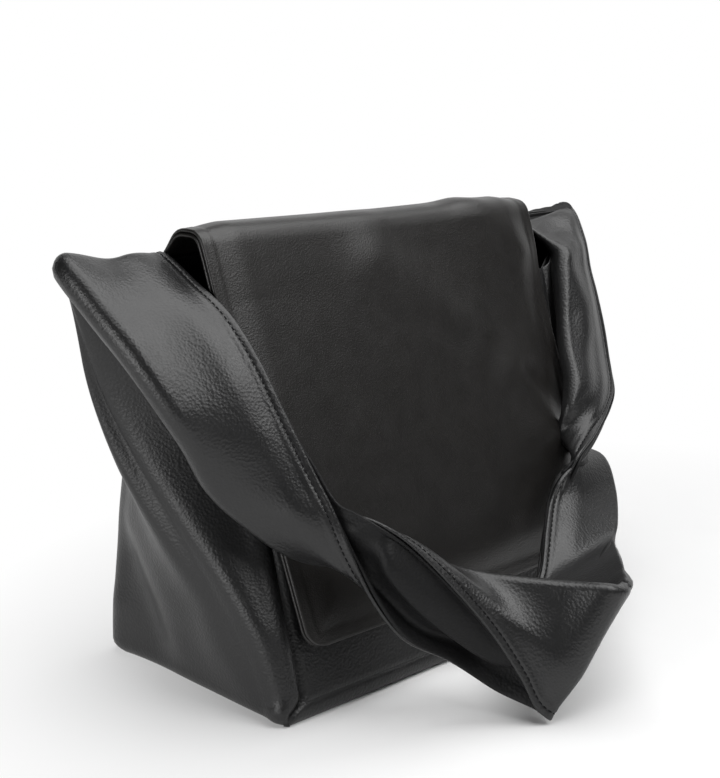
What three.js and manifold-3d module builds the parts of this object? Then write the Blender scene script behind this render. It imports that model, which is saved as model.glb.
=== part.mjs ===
// Shoulder bag of soft black leather: a wedge-shaped body, a long flap and a folded, twisted strap.
// Millimetres, +Z up. The origin is the centre of the base's underside, and the front faces -Y.
import * as THREE from 'three';
import { mergeVertices } from 'three/addons/utils/BufferGeometryUtils.js';
import Module from 'manifold-3d';

const wasm = await Module();
wasm.setup();

// Driving dimensions of the body
const baseWidth = 270;
const baseDepth = 144;
const topWidth = 256;
const frontHeight = 190;
const frontTopSetback = 62;
const hingeHeight = 221;
const hingeBack = 22;
const backCurve = 1.8;
const panelBulge = 3;

// Sheet thicknesses and clearances
const panelThickness = 1.6;
const gussetThickness = 1.1;
const liningThickness = 0.7;
const boardThickness = 2.5;
const facingThickness = 0.9;
const seamGap = 0.3;
const boardInset = 8;
const facingDepth = 30;
const liningSideInset = 6;
const gussetLiningBottom = 0.1;
const gussetLiningTop = 0.86;
const gussetLiningEdge = 0.72;
const gussetLiningRidgeInset = 8;
const gussetLiningRoom = 0.8;

// Ears of the gussets, where the strap folds over
const earReach = 60;
const earTipDrop = 7;
const earRollRadius = 4;
const earRollInset = 3;
const ridgeStartInset = 14;
const ridgePower = 1.3;
const ridgeSwingEnd = 0.8;
const earTipForward = 1;
const sideBulge = 9;
const softFoldWeight = 2.2;
const footFoldWeight = 3.8;
const footFoldEnd = 0.25;
const earFoldWeight = 5.8;
const earFoldStart = 0.3;

// Flap
const flapWidth = 244;
const flapPly = 1.0;
const roofRise = 12;
const roofBackForward = 6;
const roofFall = 1;
const ridgeRound = 5;
const flapBottomHeight = 36;
const flapStandOffTop = 4.7;
const flapStandOffBottom = 10.8;
const flapCornerRadius = 14;

// Strap
const strapPly = 0.8;
const strapPlyGap = 0.3;
const strapFoldRadius = 2.0;
const strapStartAngle = 39;
const strapEndGap = 6;
const strapOuterInset = 1;
const strapInnerInset = 3;

// Magnetic snap under the flap
const snapHeight = 76;
const snapDiscRadius = 9;
const snapDiscThickness = 1.5;
const studRadius = 3.2;
const studLength = 1.1;
const washerRadius = 7;
const washerThickness = 0.8;
const socketClearance = 0.6;

// Grid steps of the sheets
const panelColumns = 10;
const panelRows = 8;
const gussetColumns = 16;
const gussetRows = 12;
const flapColumns = 6;
const flapRows = 24;
const strapColumns = 12;
const strapRows = 26;
const roundSides = 24;

// Colours
const blackLeather = { color: 0x17161a, roughness: 0.5, metalness: 0 };
const blackLining = { color: 0x201f22, roughness: 0.9, metalness: 0 };
const greyBoard = { color: 0x4a4744, roughness: 0.9, metalness: 0 };
const darkMetal = { color: 0x6a6a6e, roughness: 0.35, metalness: 1 };

// Small helpers
const mix = THREE.MathUtils.lerp;
const vector = (x, y, z) => new THREE.Vector3(x, y, z);

function addMesh(group, name, geometry, look) {
  const mesh = new THREE.Mesh(geometry, new THREE.MeshStandardMaterial(look));
  mesh.name = name;
  group.add(mesh);
  return mesh;
}

// A surface is a function of u and v, which run from 0 to 1. Its normal is du x dv.
function normalOf(surface, u, v) {
  const step = 1e-3;
  const along = surface(Math.min(u + step, 1), v).sub(surface(Math.max(u - step, 0), v));
  const across = surface(u, Math.min(v + step, 1)).sub(surface(u, Math.max(v - step, 0)));
  return along.cross(across).normalize();
}

// A closed sheet: the surface moved to two depths, along its normal or one given way, joined by a rim
function sheet(surface, columns, rows, low, high, way = null) {
  const points = [];
  for (const depth of [low, high]) {
    for (let j = 0; j <= rows; j += 1) {
      for (let i = 0; i <= columns; i += 1) {
        const outward = way ?? normalOf(surface, i / columns, j / rows);
        points.push(surface(i / columns, j / rows).addScaledVector(outward, depth));
      }
    }
  }
  const layer = (columns + 1) * (rows + 1);
  const at = (i, j, top) => top * layer + j * (columns + 1) + i;
  const triangles = [];
  const quad = (a, b, c, d) => triangles.push(a, b, c, a, c, d);
  for (let j = 0; j < rows; j += 1) {
    for (let i = 0; i < columns; i += 1) {
      quad(at(i, j, 1), at(i + 1, j, 1), at(i + 1, j + 1, 1), at(i, j + 1, 1));
      quad(at(i, j, 0), at(i, j + 1, 0), at(i + 1, j + 1, 0), at(i + 1, j, 0));
    }
  }
  for (let i = 0; i < columns; i += 1) {
    quad(at(i, 0, 0), at(i + 1, 0, 0), at(i + 1, 0, 1), at(i, 0, 1));
    quad(at(i + 1, rows, 0), at(i, rows, 0), at(i, rows, 1), at(i + 1, rows, 1));
  }
  for (let j = 0; j < rows; j += 1) {
    quad(at(0, j + 1, 0), at(0, j, 0), at(0, j, 1), at(0, j + 1, 1));
    quad(at(columns, j, 0), at(columns, j + 1, 0), at(columns, j + 1, 1), at(columns, j, 1));
  }
  const geometry = new THREE.BufferGeometry();
  const flat = points.flatMap((point) => point.toArray());
  geometry.setAttribute('position', new THREE.Float32BufferAttribute(flat, 3));
  geometry.setIndex(triangles);
  return geometry;
}

// Turns a sheet inside out in X, so that one side of the bag is the mirror image of the other.
function mirrored(geometry) {
  const copy = geometry.clone();
  copy.scale(-1, 1, 1);
  const index = Array.from(copy.index.array);
  for (let i = 0; i < index.length; i += 3) {
    [index[i + 1], index[i + 2]] = [index[i + 2], index[i + 1]];
  }
  copy.setIndex(index);
  return copy;
}

function toSolid(geometry) {
  const bare = geometry.clone();
  bare.deleteAttribute('normal');
  bare.deleteAttribute('uv');
  const merged = mergeVertices(bare);
  const vertProperties = new Float32Array(merged.attributes.position.array);
  const triVerts = new Uint32Array(merged.index.array);
  return new wasm.Manifold(new wasm.Mesh({ numProp: 3, vertProperties, triVerts }));
}

function toGeometry(solid) {
  const mesh = solid.getMesh();
  const geometry = new THREE.BufferGeometry();
  geometry.setAttribute('position', new THREE.BufferAttribute(mesh.vertProperties, 3));
  geometry.setIndex(new THREE.BufferAttribute(mesh.triVerts, 1));
  return geometry;
}

// The washers of the snap lie between the plies, and set the room there.
const washerRoom = washerThickness + 2 * seamGap;
const flapHalfGap = washerRoom / 2;

// Body surfaces
const panelFloor = panelThickness + seamGap;
const backTop = hingeHeight - flapPly - flapHalfGap - seamGap;
const halfWidthAt = (height) => mix(baseWidth, topWidth, height / hingeHeight) / 2;
const frontAt = (height) => -baseDepth / 2 + frontTopSetback * (height / frontHeight);
const backAt = (height) => mix(baseDepth / 2, hingeBack, (height / hingeHeight) ** backCurve);

function frontSurface(bottom, top, inset) {
  return (u, v) => {
    const height = mix(bottom, top, v);
    const half = halfWidthAt(height) - inset;
    const swell = panelBulge * Math.sin(Math.PI * u) * Math.sin(Math.PI * height / frontHeight);
    return vector(mix(-half, half, u), frontAt(height) - swell, height);
  };
}

function backSurface(bottom, top, inset) {
  return (u, v) => {
    const height = mix(bottom, top, v);
    const half = halfWidthAt(height) - inset;
    const swell = panelBulge * Math.sin(Math.PI * u) * Math.sin(Math.PI * height / hingeHeight);
    return vector(mix(half, -half, u), backAt(height) + swell, height);
  };
}

// The gusset is a strip folded along a ridge, from the front bottom corner out to the ear's tip.
const frontSeam = (height) => vector(-halfWidthAt(height), frontAt(height) + panelThickness + 2 * seamGap, height);
const backSeam = (height) => vector(-halfWidthAt(height), backAt(height) - panelThickness - 2 * seamGap, height);
function ridgePoint(share) {
  const height = mix(panelFloor, hingeHeight - earTipDrop, share);
  const outward = halfWidthAt(height) + earReach * share ** ridgePower;
  const swing = THREE.MathUtils.smoothstep(share, 0, ridgeSwingEnd);
  const depth = mix(-baseDepth / 2 + ridgeStartInset, hingeBack - earTipForward, swing);
  return vector(-outward, depth, height);
}

// The ridge's pull on the section: the fold is soft in the lower part and sharp at the ear.
function ridgeWeight(share) {
  const foot = 1 - THREE.MathUtils.smoothstep(share, 0, footFoldEnd);
  const ear = THREE.MathUtils.smoothstep(share, earFoldStart, 1);
  return softFoldWeight + footFoldWeight * foot + earFoldWeight * ear;
}

// A section is a weighted quadratic arc from the front seam, past the ridge, to the back seam.
function gussetSurface(bottomShare, topShare, edgeShare, ridgeInset) {
  return (u, v) => {
    const share = mix(bottomShare, topShare, v);
    const side = (2 * u - 1) * edgeShare;
    const ridge = ridgePoint(share);
    ridge.x += ridgeInset;
    ridge.y += ridgeInset * (1 - share) ** 2;
    const front = frontSeam(mix(panelFloor, frontHeight, share));
    const back = backSeam(mix(panelFloor, backTop, share));
    const weight = ridgeWeight(share);
    const pull = front.clone().lerp(back, 0.5).lerp(ridge, (1 + weight) / weight);
    const along = (side + 1) / 2;
    const frontPart = (1 - along) ** 2;
    const ridgePart = 2 * weight * along * (1 - along);
    const backPart = along ** 2;
    const sum = front.multiplyScalar(frontPart).addScaledVector(pull, ridgePart).addScaledVector(back, backPart);
    const point = sum.divideScalar(frontPart + ridgePart + backPart);
    point.x -= sideBulge * Math.sin(Math.PI * Math.max(side, 0)) * Math.sin(Math.PI * share);
    return point;
  };
}

// Flap: one profile from the hinge seam over the roof and down the front
const flapLine = new THREE.CurvePath();
const hingePoint = vector(0, hingeBack, hingeHeight);
const roofHeight = hingeHeight + roofRise;
const roofFrontHeight = roofHeight - roofFall;
const roofBackPoint = vector(0, hingeBack - roofBackForward, roofHeight);
const roofFrontPoint = vector(0, frontAt(roofFrontHeight) - flapStandOffTop, roofFrontHeight);
const flapBottomFront = frontAt(flapBottomHeight) - flapStandOffBottom;
const flapBottomPoint = vector(0, flapBottomFront, flapBottomHeight);
const backRise = roofBackPoint.clone().sub(hingePoint).normalize();
const frontFall = flapBottomPoint.clone().sub(roofFrontPoint).normalize();
const roofRun = roofFrontPoint.clone().sub(roofBackPoint).normalize();
const beforeBack = roofBackPoint.clone().addScaledVector(backRise, -ridgeRound);
const afterBack = roofBackPoint.clone().addScaledVector(roofRun, ridgeRound);
const beforeFront = roofFrontPoint.clone().addScaledVector(roofRun, -ridgeRound);
const afterFront = roofFrontPoint.clone().addScaledVector(frontFall, ridgeRound);
flapLine.add(new THREE.LineCurve3(hingePoint, beforeBack));
flapLine.add(new THREE.QuadraticBezierCurve3(beforeBack, roofBackPoint, afterBack));
flapLine.add(new THREE.LineCurve3(afterBack, beforeFront));
flapLine.add(new THREE.QuadraticBezierCurve3(beforeFront, roofFrontPoint, afterFront));
flapLine.add(new THREE.LineCurve3(afterFront, flapBottomPoint));
const flapLength = flapLine.getLength();

function flapSurface(u, v) {
  const profile = flapLine.getPointAt(v);
  const below = Math.max(flapCornerRadius - (1 - v) * flapLength, 0);
  const trim = flapCornerRadius - Math.sqrt(flapCornerRadius ** 2 - below ** 2);
  const half = flapWidth / 2 - trim;
  return vector(mix(-half, half, u), profile.y, profile.z);
}

// Strap: two rails, the folded spine and the hems, from each ear to the shoulder crease
const startReach = earRollRadius + 2 * seamGap;
const startAngle = THREE.MathUtils.degToRad(strapStartAngle);
const startBack = hingeBack - startReach * Math.cos(startAngle);
const startHeight = hingeHeight - startReach * Math.sin(startAngle);
// Stations after the start: across as a share of half the top width, then forward of and below the hinge
const leftSpine = [
  [-1.45, 23, 19],
  [-1.42, 46, 39],
  [-1.36, 62, 57],
  [-1.26, 70, 85],
  [-1.12, 80, 117],
  [-0.88, 90, 135],
  [-0.56, 98, 146],
  [-0.33, 116, 152],
  [-0.14, 150, 157],
  [-0.02, 190, 155],
];
const leftHem = [
  [-1.01, 28, 21],
  [-0.98, 44, 26],
  [-0.96, 63, 46],
  [-0.91, 86, 87],
  [-0.85, 105, 116],
  [-0.8, 113, 127],
  [-0.73, 122, 141],
  [-0.59, 138, 167],
  [-0.43, 158, 191],
  [-0.31, 173, 214],
];
const rightSpine = [
  [1.05, 28, 18],
  [1.08, 36, 41],
  [1.05, 46, 71],
  [0.98, 71, 97],
  [0.89, 87, 119],
  [0.88, 90, 141],
  [0.78, 108, 154],
  [0.59, 130, 159],
  [0.41, 150, 158],
  [0.2, 172, 155],
  [0.02, 190, 155],
];
const rightHem = [
  [1.45, 18, 19],
  [1.44, 32, 43],
  [1.38, 46, 73],
  [1.23, 64, 101],
  [1.06, 80, 114],
  [0.83, 94, 126],
  [0.64, 96, 136],
  [0.45, 100, 145],
  [0.3, 110, 157],
  [0.11, 128, 181],
  [-0.25, 170, 214],
];

function strapRail(startAcross, stations) {
  const points = [vector(startAcross, startBack, startHeight)];
  for (const [across, forward, drop] of stations) {
    points.push(vector(across * topWidth / 2, hingeBack - forward, hingeHeight - drop));
  }
  return new THREE.CatmullRomCurve3(points);
}

// The folded strip's section is a U: a round spine, then two legs that run to the hems.
function strapSurface(spine, hem) {
  const lastShare = 1 - strapEndGap / hem.getLength();
  const step = 1e-3;
  return (u, v) => {
    const share = v * lastShare;
    const root = spine.getPoint(share);
    const leg = hem.getPoint(share).sub(root);
    const ahead = spine.getPoint(share + step).add(hem.getPoint(share + step));
    const behind = spine.getPoint(Math.max(share - step, 0)).add(hem.getPoint(Math.max(share - step, 0)));
    const across = leg.clone().cross(ahead.sub(behind)).normalize();
    const width = leg.length();
    const side = 2 * u - 1;
    const quarter = Math.PI * strapFoldRadius / 2;
    const run = Math.abs(side) * (quarter + width - strapFoldRadius);
    const turn = Math.min(run / strapFoldRadius, Math.PI / 2);
    const along = strapFoldRadius * (1 - Math.cos(turn)) + Math.max(run - quarter, 0);
    const offset = Math.sign(side) * strapFoldRadius * Math.sin(turn);
    return root.addScaledVector(leg, along / width).addScaledVector(across, offset);
  };
}

// Body: panels, base, gussets, lining and facings
function makeBody() {
  const body = new THREE.Group();
  const forward = vector(0, -1, 0);
  const backward = vector(0, 1, 0);
  const addPanel = (name, surface, low, high, way, look) => {
    addMesh(body, name, sheet(surface, panelColumns, panelRows, low, high, way), look);
  };
  addPanel('front_panel', frontSurface(panelFloor, frontHeight, 0), -panelThickness, 0, forward, blackLeather);
  addPanel('back_panel', backSurface(panelFloor, backTop, 0), -panelThickness, 0, backward, blackLeather);

  const base = new THREE.BoxGeometry(baseWidth, baseDepth, panelThickness);
  addMesh(body, 'base_panel', base, blackLeather).position.z = panelThickness / 2;
  const boardWidth = baseWidth - 2 * boardInset;
  const boardDepth = baseDepth - 2 * boardInset;
  const board = new THREE.BoxGeometry(boardWidth, boardDepth, boardThickness);
  addMesh(body, 'base_board', board, greyBoard).position.z = panelFloor + boardThickness / 2;
  const liningFloor = panelFloor + boardThickness + seamGap;
  const baseLining = new THREE.BoxGeometry(boardWidth, boardDepth, liningThickness);
  addMesh(body, 'lining_base', baseLining, blackLining).position.z = liningFloor + liningThickness / 2;

  const wallFloor = liningFloor + liningThickness + seamGap;
  const frontFacingFloor = frontHeight - facingDepth;
  const backFacingFloor = backTop - facingDepth;
  const walls = [
    ['front', frontSurface, forward, frontFacingFloor, frontHeight, washerRoom],
    ['back', backSurface, backward, backFacingFloor, backTop, seamGap],
  ];
  for (const [side, surface, way, facingFloor, top, room] of walls) {
    const inside = -panelThickness - room;
    const lining = surface(wallFloor, facingFloor - seamGap, liningSideInset);
    addPanel(`lining_${side}`, lining, inside - liningThickness, inside, way, blackLining);
    const facing = surface(facingFloor, top, liningSideInset);
    addPanel(`${side}_facing`, facing, inside - facingThickness, inside, way, blackLeather);
  }

  const rollLength = earReach - 2 * earRollInset;
  const roll = new THREE.CylinderGeometry(earRollRadius, earRollRadius, rollLength, roundSides);
  roll.rotateZ(Math.PI / 2);
  roll.translate(-topWidth / 2 - earReach / 2, hingeBack, hingeHeight);
  const gussetSheet = sheet(gussetSurface(0, 1, 1, 0), gussetColumns, gussetRows, 0, gussetThickness);
  const leftGusset = toGeometry(toSolid(gussetSheet).add(toSolid(roll)));
  addMesh(body, 'left_gusset', leftGusset, blackLeather);
  addMesh(body, 'right_gusset', mirrored(leftGusset), blackLeather);
  const liningShares = [gussetLiningBottom, gussetLiningTop, gussetLiningEdge];
  const liningSurface = gussetSurface(...liningShares, gussetLiningRidgeInset);
  const liningLow = gussetThickness + gussetLiningRoom;
  const leftLining = sheet(liningSurface, gussetColumns, gussetRows, liningLow, liningLow + liningThickness);
  addMesh(body, 'lining_left', leftLining, blackLining);
  addMesh(body, 'lining_right', mirrored(leftLining), blackLining);
  return body;
}

// Flap: an outer ply and a lining ply
function makeFlap() {
  const flap = new THREE.Group();
  const outer = sheet(flapSurface, flapColumns, flapRows, flapHalfGap, flapHalfGap + flapPly);
  addMesh(flap, 'flap_outer', outer, blackLeather);
  const lining = sheet(flapSurface, flapColumns, flapRows, -flapHalfGap - flapPly, -flapHalfGap);
  addMesh(flap, 'flap_lining', lining, blackLeather);
  return flap;
}

// Magnetic snap: the socket sits on the front panel and the stud under the flap, each with a washer
function lathe(outline) {
  const points = outline.map(([radius, height]) => new THREE.Vector2(radius, height));
  return new THREE.LatheGeometry([...points, points[0]], roundSides);
}

// A group standing on a point, with its own +Y along the given way
function standing(point, way) {
  const group = new THREE.Group();
  group.position.copy(point);
  group.quaternion.setFromUnitVectors(vector(0, 1, 0), way);
  return group;
}

function makeSnap() {
  const snap = new THREE.Group();
  const flapOut = vector(0, frontFall.z, -frontFall.y);
  const fallShare = (roofFrontPoint.z - snapHeight) / (roofFrontPoint.z - flapBottomPoint.z);
  const flapPoint = roofFrontPoint.clone().lerp(flapBottomPoint, fallShare);

  const stud = standing(flapPoint, flapOut);
  const studTop = -flapHalfGap - flapPly - seamGap;
  const studFace = studTop - snapDiscThickness;
  const studOutline = [[0, studTop], [0, studFace - studLength], [studRadius, studFace - studLength]];
  studOutline.push([studRadius, studFace], [snapDiscRadius, studFace], [snapDiscRadius, studTop]);
  addMesh(stud, 'snap_stud', lathe(studOutline), darkMetal);
  const studWasher = new THREE.CylinderGeometry(washerRadius, washerRadius, washerThickness, roundSides);
  addMesh(stud, 'snap_stud_washer', studWasher, darkMetal);
  snap.add(stud);

  const panel = frontSurface(0, frontHeight, 0);
  const panelPoint = panel(0.5, snapHeight / frontHeight);
  const panelOut = normalOf(panel, 0.5, snapHeight / frontHeight);
  const socket = standing(panelPoint, panelOut);
  const holeRadius = studRadius + socketClearance;
  const socketTop = seamGap + snapDiscThickness;
  const socketOutline = [[holeRadius, seamGap], [snapDiscRadius, seamGap]];
  socketOutline.push([snapDiscRadius, socketTop], [holeRadius, socketTop]);
  addMesh(socket, 'snap_socket', lathe(socketOutline), darkMetal);
  const socketWasher = new THREE.CylinderGeometry(washerRadius, washerRadius, washerThickness, roundSides);
  const washerDepth = (panelThickness + washerRoom / 2) * -panelOut.y;
  addMesh(socket, 'snap_socket_washer', socketWasher, darkMetal).position.y = -washerDepth;
  snap.add(socket);
  return snap;
}

// Strap: a left and a right half, each an outer ply and a lining ply
function makeStrap() {
  const strap = new THREE.Group();
  const near = strapPlyGap / 2;
  const far = near + strapPly;
  const outerStart = topWidth / 2 + earReach - strapOuterInset;
  const innerStart = topWidth / 2 + strapInnerInset;
  const leftRails = [strapRail(-outerStart, leftSpine), strapRail(-innerStart, leftHem)];
  const rightRails = [strapRail(innerStart, rightSpine), strapRail(outerStart, rightHem)];
  for (const [side, rails] of [['left', leftRails], ['right', rightRails]]) {
    const surface = strapSurface(...rails);
    addMesh(strap, `strap_${side}_outer`, sheet(surface, strapColumns, strapRows, near, far), blackLeather);
    addMesh(strap, `strap_${side}_lining`, sheet(surface, strapColumns, strapRows, -far, -near), blackLeather);
  }
  return strap;
}

const bag = new THREE.Group();
bag.add(makeBody(), makeFlap(), makeSnap(), makeStrap());

export default bag;
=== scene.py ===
import math

import bpy
import numpy as np
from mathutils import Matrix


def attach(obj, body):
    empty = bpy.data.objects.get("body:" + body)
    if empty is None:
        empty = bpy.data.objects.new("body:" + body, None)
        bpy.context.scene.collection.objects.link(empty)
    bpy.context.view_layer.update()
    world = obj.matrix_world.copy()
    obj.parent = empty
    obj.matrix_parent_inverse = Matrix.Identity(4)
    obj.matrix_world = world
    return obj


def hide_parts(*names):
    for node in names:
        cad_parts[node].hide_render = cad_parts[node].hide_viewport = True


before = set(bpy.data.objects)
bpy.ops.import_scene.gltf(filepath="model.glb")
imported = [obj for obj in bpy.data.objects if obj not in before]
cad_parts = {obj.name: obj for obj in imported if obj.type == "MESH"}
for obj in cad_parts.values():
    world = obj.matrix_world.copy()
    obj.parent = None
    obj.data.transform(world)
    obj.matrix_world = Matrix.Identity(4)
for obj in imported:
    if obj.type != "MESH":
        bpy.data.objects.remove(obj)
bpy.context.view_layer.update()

bl_info = {
    "name": "Shoulder bag",
    "version": (1, 0, 0),
    "blender": (4, 5, 0),
    "location": "View3D > Sidebar > Bag",
    "description": "Soft leather shoulder bag with a long flap and a wide folded strap",
    "category": "Object",
}

MILLIMETRE = 0.001


class BagSizes(bpy.types.PropertyGroup):
    """Lengths of the bag in metres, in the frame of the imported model"""

    base_width: bpy.props.FloatProperty(
        name="Base width", description="Width of the base, left to right",
        default=0.270, unit="LENGTH")
    base_depth: bpy.props.FloatProperty(
        name="Base depth", description="Depth of the base, front to back",
        default=0.144, unit="LENGTH")
    top_width: bpy.props.FloatProperty(
        name="Top width", description="Width of the back panel at its top",
        default=0.256, unit="LENGTH")
    front_height: bpy.props.FloatProperty(
        name="Front height", description="Height of the front panel",
        default=0.190, unit="LENGTH")
    front_setback: bpy.props.FloatProperty(
        name="Front setback", description="How far the front leans back at its top",
        default=0.062, unit="LENGTH")
    hinge_height: bpy.props.FloatProperty(
        name="Hinge height", description="Height of the fold that the flap turns on",
        default=0.221, unit="LENGTH")
    hinge_back: bpy.props.FloatProperty(
        name="Hinge back", description="Place of that fold behind the middle",
        default=0.022, unit="LENGTH")
    back_top: bpy.props.FloatProperty(
        name="Back height", description="Height of the back panel",
        default=0.219, unit="LENGTH")
    ear_reach: bpy.props.FloatProperty(
        name="Ear reach", description="How far an ear stands out beside the top",
        default=0.060, unit="LENGTH")
    flap_width: bpy.props.FloatProperty(
        name="Flap width", description="Width of the flap",
        default=0.244, unit="LENGTH")
    flap_bottom: bpy.props.FloatProperty(
        name="Flap bottom", description="Height of the flap's lower edge",
        default=0.036, unit="LENGTH")
    flap_corner: bpy.props.FloatProperty(
        name="Flap corner", description="Radius of the flap's lower corners",
        default=0.010, unit="LENGTH")
    ply: bpy.props.FloatProperty(
        name="Ply", description="Thickness of one ply of leather",
        default=0.0012, unit="LENGTH")
    stitch_pitch: bpy.props.FloatProperty(
        name="Stitch pitch", description="Distance from one stitch to the next",
        default=0.0033, unit="LENGTH")
    stitch_inset: bpy.props.FloatProperty(
        name="Stitch inset", description="Distance of a stitch line from its edge",
        default=0.0030, unit="LENGTH")


class BagFinish(bpy.types.PropertyGroup):
    """Colours and grain of the bag"""

    leather: bpy.props.FloatVectorProperty(
        name="Leather", description="Colour of the body and strap", subtype="COLOR", size=4,
        default=(0.0060, 0.0060, 0.0063, 1.0))
    flap: bpy.props.FloatVectorProperty(
        name="Flap", description="Colour of the flap, a little warmer", subtype="COLOR", size=4,
        default=(0.0075, 0.0067, 0.0061, 1.0))
    lining: bpy.props.FloatVectorProperty(
        name="Lining", description="Colour of the woven lining", subtype="COLOR", size=4,
        default=(0.006, 0.006, 0.0063, 1.0))
    thread: bpy.props.FloatVectorProperty(
        name="Thread", description="Colour of the sewing thread", subtype="COLOR", size=4,
        default=(0.004, 0.004, 0.0045, 1.0))
    metal: bpy.props.FloatVectorProperty(
        name="Snap metal", description="Colour of the snap", subtype="COLOR", size=4,
        default=(0.12, 0.12, 0.125, 1.0))
    board: bpy.props.FloatVectorProperty(
        name="Board", description="Colour of the base board", subtype="COLOR", size=4,
        default=(0.14, 0.13, 0.12, 1.0))
    floor: bpy.props.FloatVectorProperty(
        name="Floor", description="Colour of the floor", subtype="COLOR", size=4,
        default=(0.88, 0.88, 0.88, 1.0))
    grain: bpy.props.FloatProperty(
        name="Grain", description="Size of one pebble of the leather's grain",
        default=0.0014, unit="LENGTH")


# Shared tools for surfaces
TINY = 1e-12


def mix(low, high, share):
    """Straight blend from low to high."""
    return low + (high - low) * share


def smooth(share):
    """Share from 0 to 1 with a level start and end."""
    held = np.clip(share, 0.0, 1.0)
    return held * held * (3.0 - 2.0 * held)


def fade(value, start, end):
    """Smooth share of the way from start to end."""
    return smooth((value - start) / (end - start))


def bell(distance, width):
    """Bell curve: the exponential of minus the squared distance, counted in widths."""
    return np.exp(-(distance / width) ** 2)


def unit(vectors):
    """Vectors scaled to length one."""
    length = np.linalg.norm(vectors, axis=-1, keepdims=True)
    return vectors / np.maximum(length, TINY)


def slopes(points, wrap):
    """Change of position along the rows and along the columns, by central differences."""
    along = np.gradient(points, axis=0)
    if wrap:
        across = (np.roll(points, -1, axis=1) - np.roll(points, 1, axis=1)) / 2.0
    else:
        across = np.gradient(points, axis=1)
    return along, across


def normals_of(points, wrap=False):
    """Unit normal of a grid surface: the columns' direction crossed with the rows' direction."""
    along, across = slopes(points, wrap)
    return unit(np.cross(across, along))


def rail(stations, shares, gaps):
    """Smooth curve through stations: a cubic between each two, with slopes from the stations beside them.

    Gaps are the steps of the parameter from one station to the next.
    """
    points = np.asarray(stations, dtype=float)
    shape = (-1,) + (1,) * (points.ndim - 1)
    gap = np.asarray(gaps, dtype=float).reshape(shape)
    rate = np.diff(points, axis=0) / gap
    inner = (rate[:-1] * gap[1:] + rate[1:] * gap[:-1]) / (gap[:-1] + gap[1:])
    slope = np.concatenate([rate[:1], inner, rate[-1:]])
    knots = np.concatenate([[0.0], np.cumsum(gaps)])
    reach = np.clip(shares, 0.0, 1.0) * knots[-1]
    step = np.clip(np.searchsorted(knots, reach, side="right") - 1, 0, len(points) - 2)
    local = ((reach - knots[step]) / np.asarray(gaps)[step]).reshape(shape)
    square = local * local
    cube = square * local
    return (
        (2.0 * cube - 3.0 * square + 1.0) * points[step]
        + (cube - 2.0 * square + local) * slope[step] * gap[step]
        + (3.0 * square - 2.0 * cube) * points[step + 1]
        + (cube - square) * slope[step + 1] * gap[step]
    )


def run_along(points):
    """Length run along a line of points, from its first point."""
    steps = np.linalg.norm(np.diff(points, axis=0), axis=1)
    return np.concatenate([[0.0], np.cumsum(steps)])


def run_across(points):
    """Length run along each row of a sheet, from its first column."""
    steps = np.linalg.norm(np.diff(points, axis=1), axis=-1).cumsum(axis=1)
    return np.concatenate([np.zeros((len(points), 1)), steps], axis=1)


def soft_folds(across, along, folds):
    """Sum of soft ridges and dents: each a bell curve of the distance from one bent line on the sheet.

    A fold is (half width, height, points), and a point is (across, along).
    """
    rise = np.zeros(np.broadcast(across, along).shape)
    for width, height, points in folds:
        nearest = np.full(rise.shape, np.inf)
        for (start_a, start_b), (end_a, end_b) in zip(points, points[1:]):
            run_a = end_a - start_a
            run_b = end_b - start_b
            share = ((across - start_a) * run_a + (along - start_b) * run_b) / (run_a * run_a + run_b * run_b)
            share = np.clip(share, 0.0, 1.0)
            off_a = across - start_a - share * run_a
            off_b = along - start_b - share * run_b
            nearest = np.minimum(nearest, off_a * off_a + off_b * off_b)
        rise = rise + height * np.exp(-nearest / (width * width))
    return rise


# Shared tools for meshes
def quads(rows, columns, wrap):
    """Corner numbers of the squares of a grid, one square for each row and column."""
    row = np.arange(rows - 1)[:, None]
    column = np.arange(columns if wrap else columns - 1)[None, :]
    following = (column + 1) % columns
    corners = [row * columns + column, row * columns + following,
               (row + 1) * columns + following, (row + 1) * columns + column]
    shape = (rows - 1, column.shape[1])
    return np.stack([np.broadcast_to(corner, shape) for corner in corners], axis=-1).reshape(-1, 4)


def tube_quads(rings, sides):
    """Corner numbers of a closed tube with an even number of sides: its wall and a fan at each end."""
    first = np.arange(1, sides - 1, 2)
    fan = np.stack([np.zeros_like(first), first, first + 1, first + 2], axis=-1)
    return np.vstack([quads(rings, sides, True), fan[:, ::-1], fan + (rings - 1) * sides])


def new_object(name, vertices, faces, material):
    """Object from vertices and faces, without the vertices that no face uses."""
    used, place = np.unique(faces, return_inverse=True)
    mesh = bpy.data.meshes.new(name)
    mesh.from_pydata(vertices[used].tolist(), [], place.reshape(faces.shape).tolist())
    mesh.validate()
    mesh.shade_smooth()
    mesh.materials.append(material)
    piece = bpy.data.objects.new(name, mesh)
    bpy.context.scene.collection.objects.link(piece)
    return piece


LIP_ANGLES = np.radians([30.0, 60.0, 90.0])


def widened(points, half, axis):
    """Sheet with round lips at both ends of one axis: a lip runs out as the sine and thins as the cosine."""
    grid = np.moveaxis(points, axis, 0)
    thick = np.moveaxis(half, axis, 0)
    first = unit(grid[0] - grid[1])
    last = unit(grid[-1] - grid[-2])
    reach = np.sin(LIP_ANGLES)[:, None, None]
    thin = np.cos(LIP_ANGLES)[:, None]
    head = grid[0] + first * thick[0][:, None] * reach
    tail = grid[-1] + last * thick[-1][:, None] * reach
    grid = np.concatenate([head[::-1], grid, tail])
    thick = np.concatenate([(thick[0] * thin)[::-1], thick, thick[-1] * thin])
    return np.moveaxis(grid, 0, axis), np.moveaxis(thick, 0, axis)


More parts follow.
